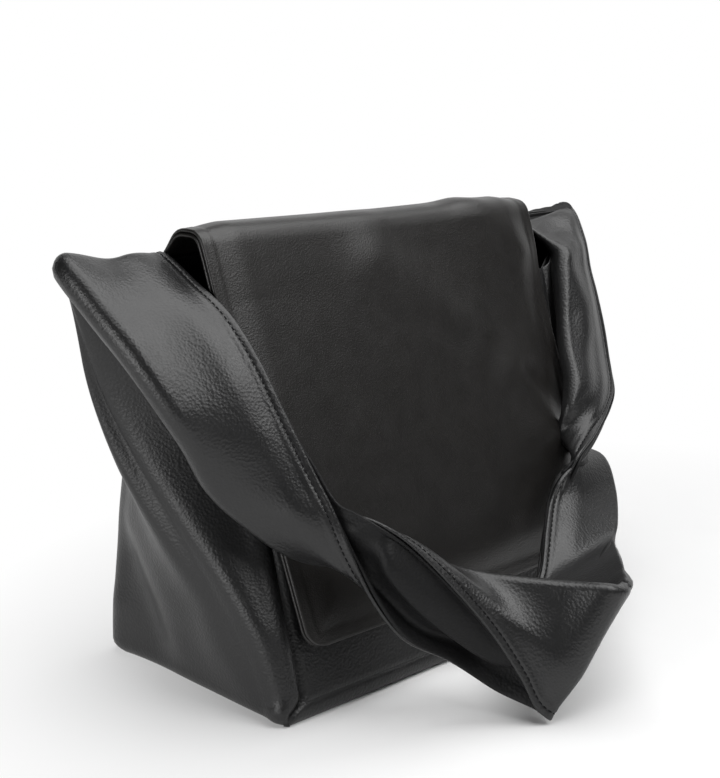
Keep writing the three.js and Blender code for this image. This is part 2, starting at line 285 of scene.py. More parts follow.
def ply_piece(name, points, thickness, material, wrap=False):
    """Closed sheet of leather: its middle surface moved out and in by half its thickness, with round lips.

    The thickness is one number, or one for each point.
    """
    half = np.ones(points.shape[:2]) * thickness / 2.0
    facing = normals_of(points, wrap)
    lips = len(LIP_ANGLES)
    grid, half = widened(points, half, 0)
    facing = np.concatenate([facing[:1]] * lips + [facing] + [facing[-1:]] * lips, axis=0)
    if not wrap:
        grid, half = widened(grid, half, 1)
        facing = np.concatenate([facing[:, :1]] * lips + [facing] + [facing[:, -1:]] * lips, axis=1)
    rows, columns = half.shape
    outer = (grid + facing * half[..., None]).reshape(-1, 3)
    inner = (grid - facing * half[..., None]).reshape(-1, 3)
    count = rows * columns
    number = np.arange(count).reshape(rows, columns)
    inside = number + count
    inside[0] = number[0]
    inside[-1] = number[-1]
    if not wrap:
        inside[:, 0] = number[:, 0]
        inside[:, -1] = number[:, -1]
    outer_faces = quads(rows, columns, wrap)
    inner_faces = inside.reshape(-1)[outer_faces][:, ::-1]
    return new_object(name, np.vstack([outer, inner]), np.vstack([outer_faces, inner_faces]), material)


TURNED_SHARE = 0.65
TURNED_WIDTH = (0.0045, 0.0075)


def turned_edge(sizes, distance):
    """Thickness of a ply with a turned edge: a thicker band along the edge that fades to the single ply."""
    return sizes.ply * (1.0 + TURNED_SHARE * (1.0 - fade(distance, *TURNED_WIDTH)))


STITCH_SIDES = 6
STITCH_RINGS = np.array([0.0, 0.12, 0.5, 0.88, 1.0])
STITCH_COVER = 0.74
STITCH_POWER = 4
STITCH_END = 0.04
STITCH_RISE = 0.5
STITCH_SINK = 0.6


def stitch_piece(name, lines, pitch, radius, material):
    """Row of stitches on each line: short capsules on the surface, with a gap between each two.

    A line is (points, normals). A stitch covers part of a pitch, and its middle stands highest.
    Its radius is the root of one minus a power of the place along it, with a least size at the ends.
    """
    vertices = []
    faces = []
    total = 0
    for points, facing in lines:
        run = run_along(points)
        count = int(run[-1] / pitch)
        starts = (np.arange(count) + (1.0 - STITCH_COVER) / 2.0) * pitch
        places = starts[:, None] + STITCH_RINGS[None, :] * STITCH_COVER * pitch
        centre = np.stack([np.interp(places, run, points[:, axis]) for axis in range(3)], axis=-1)
        up = unit(np.stack([np.interp(places, run, facing[:, axis]) for axis in range(3)], axis=-1))
        ahead = unit(centre[:, -1:] - centre[:, :1]) * np.ones((1, len(STITCH_RINGS), 1))
        side = unit(np.cross(up, ahead))
        bulge = np.maximum(1.0 - (2.0 * STITCH_RINGS - 1.0) ** STITCH_POWER, STITCH_END)
        swell = np.sqrt(bulge)[None, :, None, None]
        turn = np.linspace(0.0, 2.0 * math.pi, STITCH_SIDES, endpoint=False)
        ring = side[:, :, None] * np.cos(turn)[:, None] + up[:, :, None] * np.sin(turn)[:, None]
        lift = up * (radius * STITCH_RISE * (swell[:, :, 0] - STITCH_SINK))
        tube = centre[:, :, None] + lift[:, :, None] + ring * radius * swell
        rings = len(STITCH_RINGS)
        one = tube_quads(rings, STITCH_SIDES)
        each = rings * STITCH_SIDES
        faces.append((one[None] + (np.arange(count) * each)[:, None, None]).reshape(-1, 4) + total)
        vertices.append(tube.reshape(-1, 3))
        total += count * each
    return new_object(name, np.vstack(vertices), np.vstack(faces), material)


# Materials
# A noise is scale and detail, and tints are the darkest and lightest shares of the colour
# A bump is strength and depth, and a sheen is weight and roughness
# The fine grain has its scale in pebbles and its depth as a share of theirs
WHITE = (1.0, 1.0, 1.0, 1.0)
PEBBLE_SMOOTHNESS = 0.35
PEBBLE_BUMP = 0.8
WARP_SCALE = 0.35
WARP_DETAIL = 1.0
WARP_REACH = 0.6
CLOUD_NOISE = (28.0, 3.0)
CLOUD_TINTS = (0.72, 1.35)
GLOSS_NOISE = (90.0, 4.0)
GLOSS_SPREAD = (-0.05, 0.06)
FINE_NOISE = (2.2, 2.0)
FINE_BUMP = (0.3, 0.4)
RIPPLE_NOISE = (140.0, 2.0)
RIPPLE_BUMP = (0.12, 0.0006)
LEATHER_SHEEN = (0.01, 0.4)
WEAVE_SCALE = 420.0
WEAVE_WAVER = 0.6
WEAVE_TINTS = (0.6, 1.5)
WEAVE_NOISE = (60.0, 3.0)
WEAVE_ROUGHNESS = (0.62, 0.8)
WEAVE_BUMP = (0.6, 0.0002)
TWIST_SCALE = 900.0
TWIST_TINTS = (0.7, 1.6)
TWIST_ROUGHNESS = (0.7, 0.85)
TWIST_SHINE = 0.2
TWIST_BUMP = (0.5, 0.0001)
# Leathers: colour, share of the grain's size, mean roughness, depth of the grain and level of the reflection
LEATHERS = {
    "body_leather": ("leather", 1.0, 0.42, 0.00020, 0.50),
    "strap_leather": ("leather", 1.0, 0.38, 0.00018, 0.55),
    "strap_inside": ("leather", 1.0, 0.52, 0.00018, 0.20),
    "flap_leather": ("flap", 0.6, 0.37, 0.00010, 0.50),
}
# Speckled finishes: colour, noise, tints, roughness, bump and share of metal
SPECKLED = {
    "snap_metal_dark": ("metal", (700.0, 4.0), (0.8, 1.25), (0.22, 0.42), (0.2, 0.0001), 1.0),
    "grey_board": ("board", (520.0, 5.0), (0.6, 1.3), (0.75, 0.9), (0.4, 0.0002), 0.0),
}


def node_material(name):
    """New material with a Principled shader and its output, and its Object coordinates."""
    material = bpy.data.materials.new(name)
    material.use_nodes = True
    tree = material.node_tree
    tree.nodes.clear()
    output = tree.nodes.new("ShaderNodeOutputMaterial")
    shader = tree.nodes.new("ShaderNodeBsdfPrincipled")
    place = tree.nodes.new("ShaderNodeTexCoord")
    tree.links.new(shader.outputs["BSDF"], output.inputs["Surface"])
    return material, tree, shader, place.outputs["Object"]


def feed(tree, node, inputs):
    """Feed a node's inputs: a link from another socket, or a number or colour on its own socket."""
    for name, value in inputs.items():
        if isinstance(value, bpy.types.NodeSocket):
            tree.links.new(value, node.inputs[name])
        else:
            node.inputs[name].default_value = value


def add_node(tree, kind, inputs, **settings):
    """New node with its settings and its inputs."""
    node = tree.nodes.new(kind)
    for name, value in settings.items():
        setattr(node, name, value)
    feed(tree, node, inputs)
    return node


def noise(tree, place, scale, detail, output="Fac"):
    """Noise texture on the given coordinates."""
    node = add_node(tree, "ShaderNodeTexNoise", {"Vector": place, "Scale": scale, "Detail": detail})
    return node.outputs[output]


def ranged(tree, value, low, high, start=0.0, end=1.0):
    """Value mapped from start..end to low..high."""
    ends = {"From Min": start, "From Max": end, "To Min": low, "To Max": high}
    return add_node(tree, "ShaderNodeMapRange", {"Value": value, **ends}).outputs["Result"]


def combined(tree, operation, first, second):
    """Two values put through one operation."""
    return add_node(tree, "ShaderNodeMath", {0: first, 1: second}, operation=operation).outputs["Value"]


def tinted(tree, value, colour, dark, light):
    """Colour that runs with a value from a darker to a lighter share of one colour."""
    ramp = add_node(tree, "ShaderNodeValToRGB", {"Fac": value})
    for stop, share in zip(ramp.color_ramp.elements, (dark, light)):
        stop.color = tuple(share * part for part in colour[:3]) + (1.0,)
    return ramp.outputs["Color"]


def bump(tree, height, strength, distance, under=None):
    """Bump from a height, laid over another bump where one is given."""
    inputs = {"Height": height, "Strength": strength, "Distance": distance}
    if under is not None:
        inputs["Normal"] = under
    return add_node(tree, "ShaderNodeBump", inputs).outputs["Normal"]


def leather_material(name, colour, grain, gloss, depth, shine):
    """Satin faux leather: pebbles with creases between them, cloudy colour and a broken satin gloss.

    Gloss is the mean roughness, depth is the height of the grain and shine is the level of the reflection.
    """
    material, tree, shader, place = node_material(name)
    warp = noise(tree, place, WARP_SCALE / grain, WARP_DETAIL, "Color")
    reach = (grain * WARP_REACH,) * 3
    shifted = add_node(tree, "ShaderNodeVectorMath", {0: warp, 1: reach, 2: place}, operation="MULTIPLY_ADD")
    pebble = add_node(
        tree, "ShaderNodeTexVoronoi",
        {"Vector": shifted.outputs["Vector"], "Scale": 1.0 / grain, "Smoothness": PEBBLE_SMOOTHNESS},
        feature="SMOOTH_F1")
    soft = bump(tree, noise(tree, place, *RIPPLE_NOISE), *RIPPLE_BUMP)
    grained = bump(tree, pebble.outputs["Distance"], PEBBLE_BUMP, depth, soft)
    fine_scale, fine_detail = FINE_NOISE
    fine_strength, fine_share = FINE_BUMP
    fine = noise(tree, place, fine_scale / grain, fine_detail)
    smoothest, roughest = GLOSS_SPREAD
    patch = noise(tree, place, *GLOSS_NOISE)
    sheen, sheen_roughness = LEATHER_SHEEN
    feed(tree, shader, {
        "Base Color": tinted(tree, noise(tree, place, *CLOUD_NOISE), colour, *CLOUD_TINTS),
        "Roughness": ranged(tree, patch, gloss + smoothest, gloss + roughest),
        "Normal": bump(tree, fine, fine_strength, depth * fine_share, grained),
        "Specular IOR Level": shine,
        "Sheen Weight": sheen,
        "Sheen Roughness": sheen_roughness,
    })
    return material


def woven_material(name, colour):
    """Plain woven lining: two crossed waves for the threads, and a matt surface."""
    material, tree, shader, place = node_material(name)
    inputs = {"Vector": place, "Scale": WEAVE_SCALE, "Distortion": WEAVE_WAVER}
    threads = [
        add_node(tree, "ShaderNodeTexWave", inputs, bands_direction=direction).outputs["Fac"]
        for direction in ("X", "Z")
    ]
    weave = combined(tree, "MULTIPLY", *threads)
    patch = noise(tree, place, *WEAVE_NOISE)
    feed(tree, shader, {
        "Base Color": tinted(tree, weave, colour, *WEAVE_TINTS),
        "Roughness": ranged(tree, patch, *WEAVE_ROUGHNESS),
        "Normal": bump(tree, weave, *WEAVE_BUMP),
    })
    return material


def thread_material(name, colour):
    """Dull sewing thread with a fine slanted twist."""
    material, tree, shader, place = node_material(name)
    inputs = {"Vector": place, "Scale": TWIST_SCALE}
    twist = add_node(tree, "ShaderNodeTexWave", inputs, bands_direction="DIAGONAL").outputs["Fac"]
    feed(tree, shader, {
        "Base Color": tinted(tree, twist, colour, *TWIST_TINTS),
        "Roughness": ranged(tree, twist, *TWIST_ROUGHNESS),
        "Normal": bump(tree, twist, *TWIST_BUMP),
        "Specular IOR Level": TWIST_SHINE,
    })
    return material


def speckled_material(name, colour, speckle, tints, roughness, relief, metal):
    """Finish with fine specks in its colour, gloss and relief: scuffs on the snap, fibres in the board."""
    material, tree, shader, place = node_material(name)
    specks = noise(tree, place, *speckle)
    feed(tree, shader, {
        "Base Color": tinted(tree, specks, colour, *tints),
        "Roughness": ranged(tree, specks, *roughness),
        "Normal": bump(tree, specks, *relief),
        "Metallic": metal,
    })
    return material


def bag_material(name, finish):
    """Material of that name, made on its first use."""
    made = bpy.data.materials.get(name)
    if made is not None:
        return made
    if name in LEATHERS:
        colour, share, *look = LEATHERS[name]
        return leather_material(name, getattr(finish, colour), finish.grain * share, *look)
    if name in SPECKLED:
        colour, *look = SPECKLED[name]
        return speckled_material(name, getattr(finish, colour), *look)
    if name == "woven_lining":
        return woven_material(name, finish.lining)
    return thread_material(name, finish.thread)


# Body shell
EAR_DROP = 0.0042
RIDGE_POWER = 1.3
RIDGE_START = 0.014
RIDGE_BEFORE_HINGE = 0.001
RIDGE_SWING_END = 0.80
SOFT_FOLD = 2.2
FOOT_FOLD = 3.8
FOOT_FOLD_END = 0.25
EAR_FOLD = 3.6
EAR_FOLD_START = 0.3
SIDE_BULGE = 0.009
PANEL_SWELL = 0.004
BACK_CURVE = 1.8
FRONT_COLUMNS = 71
GUSSET_COLUMNS = 91
FIRST_BACK = FRONT_COLUMNS + GUSSET_COLUMNS - 2
FIRST_LEFT = FIRST_BACK + FRONT_COLUMNS
GUSSETS = (slice(FRONT_COLUMNS, FIRST_BACK), slice(FIRST_LEFT, None))
PANELS = (slice(0, FRONT_COLUMNS), slice(FIRST_BACK, FIRST_LEFT))
SEAM_COLUMNS = (0, FRONT_COLUMNS - 1, FIRST_BACK, FIRST_LEFT - 1)
WALL_ROWS = 96
SEAM_SHIFT = 0.014
SEAM_SHIFT_FOOT = (0.001, 0.014)
SEAM_SHIFT_TOP = (0.100, 0.190)
SEAM_GROOVE = (0.0026, 0.0022)
SEAM_WELT = (0.0012, 0.0080, 0.0050)
BASE_SEAM = (0.0098, 0.0006, 0.0008)
FOOT_RADIUS = 0.008
FOOT_ANGLES = np.radians([90.0, 72.0, 54.0, 36.0, 18.0])
BASE_DRAWS = np.array([0.0, 0.2, 0.4, 0.6, 0.8])
FINE_BAND = 0.005
FINE_ROWS = 8
FOLD_FADE_POWER = 8
LINING_INSET = 0.004
LINING_PLY = 0.0007
FACING_INSET = 0.0026
FACING_PLY = 0.0009
FACING_ROWS = 14
FACING_OVERLAP = 2

# Soft folds of a gusset: half width, height, and points as depth and height
GUSSET_FOLDS = (
    (0.015, 0.0026, ((0.039, 0.080), (0.012, 0.050), (0.009, 0.030))),
    (0.015, -0.0028, ((0.022, 0.095), (-0.014, 0.052))),
    (0.014, -0.0028, ((0.046, 0.055), (0.030, 0.020))),
    (0.012, 0.0030, ((0.062, 0.010), (0.060, 0.026))),
)


def half_width_at(sizes, height):
    """Half the panel's width: straight from the base to the top."""
    return mix(sizes.base_width, sizes.top_width, height / sizes.hinge_height) / 2.0


def front_at(sizes, height):
    """Depth of the front panel, which leans back as it rises."""
    return -sizes.base_depth / 2.0 + sizes.front_setback * height / sizes.front_height


def back_at(sizes, height):
    """Depth of the back panel, which stands up from the base and curves forward to the hinge as a power."""
    share = np.clip(height / sizes.hinge_height, 0.0, 1.0) ** BACK_CURVE
    return mix(sizes.base_depth / 2.0, sizes.hinge_back, share)


def place(across, depth, height):
    """Points from three arrays of the same shape."""
    return np.stack(np.broadcast_arrays(across, depth, height), axis=-1)


def front_half_at(sizes, height):
    """Half width at the front seams: they swing in above the base's corners, and out again to the mouth."""
    rise = fade(height, *SEAM_SHIFT_FOOT)
    fall = 1.0 - fade(height, *SEAM_SHIFT_TOP)
    return half_width_at(sizes, height) - SEAM_SHIFT * rise * fall


def gusset_grid(sizes, share, side, hand):
    """Folded gusset: a weighted quadratic arc from the front seam, past the ridge, to the back seam.

    Side runs from -1 at the front seam, over 0 at the ridge, to 1 at the back seam. Hand is -1 on the left.
    The weight of the ridge is greatest at the foot and at the ear, where the fold is sharpest.
    The back half swells out sideways as a squared sine of the side and a sine of the height.
    """
    height = (sizes.hinge_height - EAR_DROP) * share
    outward = half_width_at(sizes, height) + sizes.ear_reach * share ** RIDGE_POWER
    swing = smooth(share / RIDGE_SWING_END)
    ridge_foot = RIDGE_START - sizes.base_depth / 2.0
    ridge = place(outward, mix(ridge_foot, sizes.hinge_back - RIDGE_BEFORE_HINGE, swing), height)
    front_height = sizes.front_height * share
    back_height = sizes.back_top * share
    front = place(front_half_at(sizes, front_height), front_at(sizes, front_height), front_height)
    back = place(half_width_at(sizes, back_height), back_at(sizes, back_height), back_height)
    weight = SOFT_FOLD + FOOT_FOLD * (1.0 - smooth(share / FOOT_FOLD_END))
    weight = (weight + EAR_FOLD * fade(share, EAR_FOLD_START, 1.0))[..., None]
    between = (front + back) / 2.0
    pulled = between + (ridge - between) * (1.0 + weight) / weight
    along = ((side + 1.0) / 2.0)[..., None]
    part_front = (1.0 - along) ** 2
    part_ridge = 2.0 * weight * along * (1.0 - along)
    part_back = along ** 2
    whole = part_front + part_ridge + part_back
    points = (part_front * front + part_ridge * pulled + part_back * back) / whole
    points[..., 0] += SIDE_BULGE * np.sin(np.pi * np.clip(side, 0.0, 1.0)) ** 2 * np.sin(np.pi * share)
    return points * np.array([hand, 1.0, 1.0])


def body_walls(sizes, share):
    """Walls of the bag as one loop: front, right gusset, back and left gusset, at shares of the height.

    The columns crowd towards the seams, as a sine on the panels and as 1.5 x - 0.5 x^3 on the gussets.
    """
    rows = share[:, None]
    across = np.sin(np.linspace(-np.pi / 2.0, np.pi / 2.0, FRONT_COLUMNS))[None, :]
    front_height = sizes.front_height * rows
    bow = np.cos(np.pi * across / 2.0) * np.sin(np.pi * rows)
    front = place(
        front_half_at(sizes, front_height) * across,
        front_at(sizes, front_height) - PANEL_SWELL * bow,
        front_height)
    back_height = sizes.back_top * rows
    back = place(
        -half_width_at(sizes, back_height) * across,
        back_at(sizes, back_height) + PANEL_SWELL * bow,
        back_height)
    even = np.linspace(-1.0, 1.0, GUSSET_COLUMNS)[None, 1:-1]
    side = even * (1.5 - 0.5 * even ** 2) * np.ones_like(rows)
    right = gusset_grid(sizes, rows * np.ones_like(side), side, 1.0)
    left = gusset_grid(sizes, rows * np.ones_like(side), -side, -1.0)
    return np.concatenate([front, right, back, left], axis=1)


def seam_rise(points):
    """Sewn seams: a bell-shaped groove along each seam, with a bell-shaped welt beside it on the gusset."""
    rise = np.zeros(points.shape[:2])
    on_gusset = np.zeros(points.shape[1])
    for gusset in GUSSETS:
        on_gusset[gusset] = 1.0
    groove, groove_width = SEAM_GROOVE
    welt, welt_place, welt_width = SEAM_WELT
    for column in SEAM_COLUMNS:
        away = np.linalg.norm(points - points[:, column:column + 1], axis=-1)
        rise += welt * bell(away - welt_place, welt_width) * on_gusset
        rise -= groove * bell(away, groove_width)
    return rise


def fold_rise(points):
    """Soft folds of the gussets, faded out at the seams, and the groove of the base seam on the panels."""
    rise = np.zeros(points.shape[:2])
    folds = soft_folds(points[..., 1], points[..., 2], GUSSET_FOLDS)
    even = np.linspace(-1.0, 1.0, GUSSET_COLUMNS)[1:-1]
    for gusset in GUSSETS:
        rise[:, gusset] = folds[:, gusset] * (1.0 - even ** FOLD_FADE_POWER)
    seam_height, depth, width = BASE_SEAM
    groove = depth * bell(points[..., 2] - seam_height, width)
    for panel in PANELS:
        rise[:, panel] -= groove[:, panel]
    return rise


def body_shell(sizes, seams=True):
    """Shell of the bag: the loop of walls carried up the height, turned in round its foot and closed below.

    The foot is a quarter circle, and below it each row draws in towards the middle line of the base.
    """
    foot = FOOT_RADIUS * (1.0 - np.sin(FOOT_ANGLES))
    inset = FOOT_RADIUS * (1.0 - np.cos(FOOT_ANGLES))
    fine = np.linspace(FOOT_RADIUS, FOOT_RADIUS + FINE_BAND, FINE_ROWS)
    wall = np.linspace(FOOT_RADIUS + FINE_BAND, sizes.hinge_height, WALL_ROWS)[1:]
    heights = np.concatenate([foot, fine, wall])
    points = body_walls(sizes, heights / sizes.hinge_height)
    if seams:
        rise = seam_rise(points) + fold_rise(points)
        points = points + normals_of(points, True) * rise[..., None]
    pull = np.concatenate([inset, np.zeros(len(fine) + len(wall))])[:, None]
    points[..., 0] *= 1.0 - pull / (sizes.base_width / 2.0)
    points[..., 1] *= 1.0 - pull / (sizes.base_depth / 2.0)
    points[..., 2] = np.maximum(points[..., 2], foot[0] + sizes.ply / 2.0)
    floor = np.repeat(points[:1], len(BASE_DRAWS), axis=0)
    floor[..., 1] *= BASE_DRAWS[:, None]
    return np.concatenate([floor, points], axis=0)


class BAG_OT_body(bpy.types.Operator):
    """Make the lofted leather shell of the bag's body"""

    bl_idname = "bag.body"
    bl_label = "Body shell"

    def execute(self, context):
        sizes = context.scene.bag_sizes
        finish = context.scene.bag_finish
        points = body_shell(sizes)
        piece = ply_piece("body_shell", points, sizes.ply, bag_material("body_leather", finish), wrap=True)
        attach(piece, "bag")
        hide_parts("front_panel", "back_panel", "base_panel", "left_gusset", "right_gusset")
        return {"FINISHED"}


class BAG_OT_inside(bpy.types.Operator):
    """Make the woven lining and the leather facing round the mouth, and finish the base board"""

    bl_idname = "bag.inside"
    bl_label = "Lining and facing"

    def execute(self, context):
        sizes = context.scene.bag_sizes
        finish = context.scene.bag_finish
        walls = body_shell(sizes, seams=False)
        outward = normals_of(walls, True)
        lining = (walls - outward * LINING_INSET)[len(BASE_DRAWS):-FACING_ROWS]
        piece = ply_piece("lining_shell", lining, LINING_PLY, bag_material("woven_lining", finish), wrap=True)
        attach(piece, "bag")
        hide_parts("lining_front", "lining_back", "lining_left", "lining_right", "lining_base")
        band = (walls - outward * FACING_INSET)[-FACING_ROWS - FACING_OVERLAP:]
        facing = ply_piece("mouth_facing", band, FACING_PLY, bag_material("body_leather", finish), wrap=True)
        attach(facing, "bag")
        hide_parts("front_facing", "back_facing")
        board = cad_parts["base_board"]
        board.data.materials.clear()
        board.data.materials.append(bag_material("grey_board", finish))
        return {"FINISHED"}


# Flap
ROOF_RISE = 0.0095
ROOF_BACK = 0.0095
ROOF_FALL = 0.0015
FLAP_STAND = (0.0056, 0.0090)
RIDGE_ROUND = 0.005
RIDGE_STEPS = 12
FLAP_ROWS = 150
FLAP_COLUMNS = 121
FLAP_CROWD = 0.6
FLAP_LIFT = 0.0012
FLAP_TOP_SPREAD = (0.006, -0.006)
FLAP_BOTTOM_SPREAD = (-0.005, -0.006)
HINGE_FADE = 0.020
HINGE_LIFT = 0.2
HINGE_ROLL = 0.0017
HINGE_SIDES = 16
FLAP_PUFF = 0.0026
FLAP_PUFF_WIDTH = 0.022
ROOF_LIFT = 0.0030
ROOF_LIFT_RUN = 0.060

# Soft creases of the flap: half width, height, and points as distance across and run from the hinge
FLAP_FOLDS = (
    (0.018, 0.0030, ((-0.017, 0.048), (0.015, 0.075), (0.034, 0.091))),
    (0.012, 0.0020, ((0.064, 0.022), (0.101, 0.055))),
    (0.018, 0.0024, ((0.066, 0.124), (0.090, 0.158))),
    (0.009, -0.0020, ((0.086, 0.126), (0.106, 0.152))),
)
FLAP_CURL = 0.0030
FLAP_CURL_RUN = (0.035, 0.080)
FLAP_CURL_ACROSS = (0.070, 0.125)


def flap_profile(sizes, count):
    """Line from the hinge over the roof and down the front, its two corners rounded by quadratic arcs."""
    roof = sizes.hinge_height + ROOF_RISE
    hinge = np.array([sizes.hinge_back, sizes.hinge_height])
    back = np.array([sizes.hinge_back - ROOF_BACK, roof])
    front = np.array([front_at(sizes, roof - ROOF_FALL) - FLAP_STAND[0], roof - ROOF_FALL])
    bottom = np.array([front_at(sizes, sizes.flap_bottom) - FLAP_STAND[1], sizes.flap_bottom])
    share = np.linspace(0.0, 1.0, RIDGE_STEPS)[:, None]

    def corner(before, middle, after):
        """Quadratic arc that rounds off the middle point."""
        entry = middle - unit(middle - before) * RIDGE_ROUND
        leave = middle + unit(after - middle) * RIDGE_ROUND
        return mix(mix(entry, middle, share), mix(middle, leave, share), share)

    line = np.vstack([hinge, corner(hinge, back, front), corner(back, front, bottom), bottom])
    run = run_along(line)
    place_on = np.linspace(0.0, run[-1], count)
    return np.interp(place_on, run, line[:, 0]), np.interp(place_on, run, line[:, 1]), place_on


def flap_sheet(sizes):
    """Flap: the profile carried across its width, with circular arcs at the lower corners.

    The roof rises towards the left as a sine of its run, and the columns crowd towards the edges as a sine.
    Gives the points, how far across and along the sheet each lies, and its distance from the free edges.
    """
    depth, height, run = flap_profile(sizes, FLAP_ROWS)
    below = np.clip(sizes.flap_corner - (run[-1] - run), 0.0, sizes.flap_corner)
    trim = sizes.flap_corner - np.sqrt(sizes.flap_corner ** 2 - below ** 2)
    lower = run / run[-1]
    left, right = [
        (sizes.flap_width / 2.0 + mix(top, bottom, lower) - trim)[:, None]
        for top, bottom in zip(FLAP_TOP_SPREAD, FLAP_BOTTOM_SPREAD)
    ]
    even = np.linspace(0.0, 1.0, FLAP_COLUMNS)[None, :]
    across = mix(-left, right, even - FLAP_CROWD * np.sin(2.0 * np.pi * even) / (2.0 * np.pi))
    lift = ROOF_LIFT * np.sin(np.pi * np.clip(run / ROOF_LIFT_RUN, 0.0, 1.0))[:, None]
    lift = lift * np.clip(-across / left, 0.0, 1.0)
    points = place(across, depth[:, None], height[:, None] + lift)
    edge = np.minimum(np.minimum(across + left, right - across), (run[-1] - run)[:, None])
    return points, across, run[:, None] * np.ones_like(across), edge


def hinge_roll(line):
    """Rolled edge on the hinge line: a round tube along it, with flat ends."""
    turn = np.linspace(0.0, 2.0 * math.pi, HINGE_SIDES, endpoint=False)
    ring = np.stack([np.zeros(HINGE_SIDES), -np.sin(turn), np.cos(turn)], axis=-1)
    points = line[:, None] + ring[None, :] * HINGE_ROLL
    return points.reshape(-1, 3), tube_quads(len(line), HINGE_SIDES)


class BAG_OT_flap(bpy.types.Operator):
    """Make the two plies of the flap and the rolled edge on its hinge line"""

    bl_idname = "bag.flap"
    bl_label = "Flap"

    def execute(self, context):
        sizes = context.scene.bag_sizes
        finish = context.scene.bag_finish
        points, across, run, edge = flap_sheet(sizes)
        facing = -normals_of(points)
        curl = FLAP_CURL * fade(across, *FLAP_CURL_ACROSS) * fade(run, *FLAP_CURL_RUN)
        rise = soft_folds(across, run, FLAP_FOLDS) - curl
        puff = FLAP_PUFF * smooth(edge / FLAP_PUFF_WIDTH)
        hinged = smooth(run / HINGE_FADE)
        lift = FLAP_LIFT * mix(HINGE_LIFT, 1.0, hinged)
        outer = points + facing * (lift + (rise + puff) * hinged)[..., None]
        inner = points - facing * (lift - rise * hinged)[..., None]
        thickness = turned_edge(sizes, edge)
        top = ply_piece("flap_outer_ply", outer, thickness, bag_material("flap_leather", finish))
        under = ply_piece("flap_lining_ply", inner, thickness, bag_material("flap_leather", finish))
        roll = new_object("hinge_roll", *hinge_roll(points[0]), bag_material("flap_leather", finish))
        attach(roll, "flap")
        for piece, node in ((top, "flap_outer"), (under, "flap_lining")):
            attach(piece, "flap")
            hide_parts(node)
        return {"FINISHED"}


# Strap: three rails from the left ear to the crease and on to the right ear, in millimetres
# Each station is a point on the folded spine, the near hem and the far hem
LEFT_STATIONS = (
    ((-178, 25, 212), (-133, 25, 213), (-133, 24, 213)),
    ((-183, 25, 217), (-132, 25, 218), (-132, 24, 217)),
    ((-189, 21, 220), (-131, 22, 221), (-131, 22, 219)),
    ((-187, -2, 201), (-130, -7, 208), (-126, -2, 201)),
    ((-181, -21, 181), (-129, -27, 197), (-125, -21, 190)),
    ((-171, -35, 156), (-127, -46, 177), (-121, -39, 170)),
    ((-163, -39, 140), (-123, -60, 152), (-116, -52, 146)),
    ((-153, -41, 119), (-118, -73, 127), (-110, -64, 127)),
    ((-139, -49, 101), (-114, -83, 108), (-106, -78, 109)),
    ((-116, -62, 82), (-110, -91, 88), (-100, -95, 104)),
    ((-70, -86, 76), (-102, -98, 65), (-87, -106, 93)),
    ((-48, -104, 69), (-86, -103, 43), (-73, -118, 74)),
    ((-33, -123, 67), (-61, -110, 27), (-57, -132, 48)),
    ((-16, -148, 66), (-47, -130, 13), (-47, -144, 24)),
    ((-5, -164, 66), (-39, -147, 7), (-42, -151, 8)),
)
CREASE_STATION = ((1, -166, 64), (-37, -148, 5), (-37, -154, 3))
RIGHT_STATIONS = (
    ((133, 25, 206), (178, 25, 214), (178, 24, 214)),
    ((132, 25, 210), (183, 25, 218), (183, 24, 217)),
    ((133, 20, 214), (189, 23, 220), (189, 21, 220)),
    ((141, -9, 199), (180, 5, 201), (177, -2, 203)),
    ((135, -15, 188), (175, -6, 182), (172, -11, 185)),
    ((128, -22, 175), (172, -13, 170), (169, -18, 173)),
    ((119, -31, 158), (168, -23, 149), (165, -28, 152)),
    ((113, -38, 145), (165, -29, 134), (162, -34, 137)),
    ((107, -47, 129), (153, -44, 116), (149, -48, 119)),
    ((98, -52, 116), (135, -55, 108), (129, -59, 111)),
    ((98, -48, 102), (109, -67, 100), (102, -70, 103)),
    ((103, -53, 92), (88, -74, 93), (81, -76, 96)),
    ((120, -64, 84), (67, -76, 86), (73, -74, 83)),
    ((112, -78, 71), (57, -77, 76), (61, -74, 74)),
    ((95, -93, 59), (42, -86, 64), (45, -82, 62)),
    ((78, -104, 54), (24, -98, 48), (26, -94, 46)),
    ((43, -134, 61), (-4, -111, 36), (0, -109, 35)),
    ((24, -151, 62), (-25, -125, 27), (-22, -121, 27)),
    ((12, -162, 63), (-37, -149, 5), (-36, -145, 6)),
)
STRAP_ROWS = 320
LEG_COLUMNS = 56
STRAP_CROWD = 0.2
SPINE_RADIUS = 0.0035
NOSE_FADE = 0.6
LINING_STEP = (0.0023, 0.0014)
LINING_STEP_FADE = 0.012
STITCH_DENT = (0.0005, 0.0010)
STITCH_RADIUS = 0.00042
STITCH_STAND = 0.8
PILLOW_SINK = -0.016
PILLOW_SWELL = 0.004
PILLOW_PARTED = (0.010, 0.034)
PILLOW_END = (0.50, 0.58)
LINING_GAPS = (0.2, 0.3, 0.35, 0.15)
HEM_COLUMN = 16
HEM_TO_PILLOW = 0.15
STATION_POWER = 0.6

# Soft folds of the strap: half width, height, and points as distance from the spine and run from the left ear
# The distance is less than 0 on the near leg
STRAP_FOLDS = (
    (0.020, 0.0036, ((0.002, 0.019), (0.0, 0.031), (-0.001, 0.053), (-0.001, 0.084),
                     (-0.002, 0.104), (-0.008, 0.125), (-0.022, 0.165))),
    (0.014, -0.0030, ((-0.030, 0.006), (-0.030, 0.020))),
)
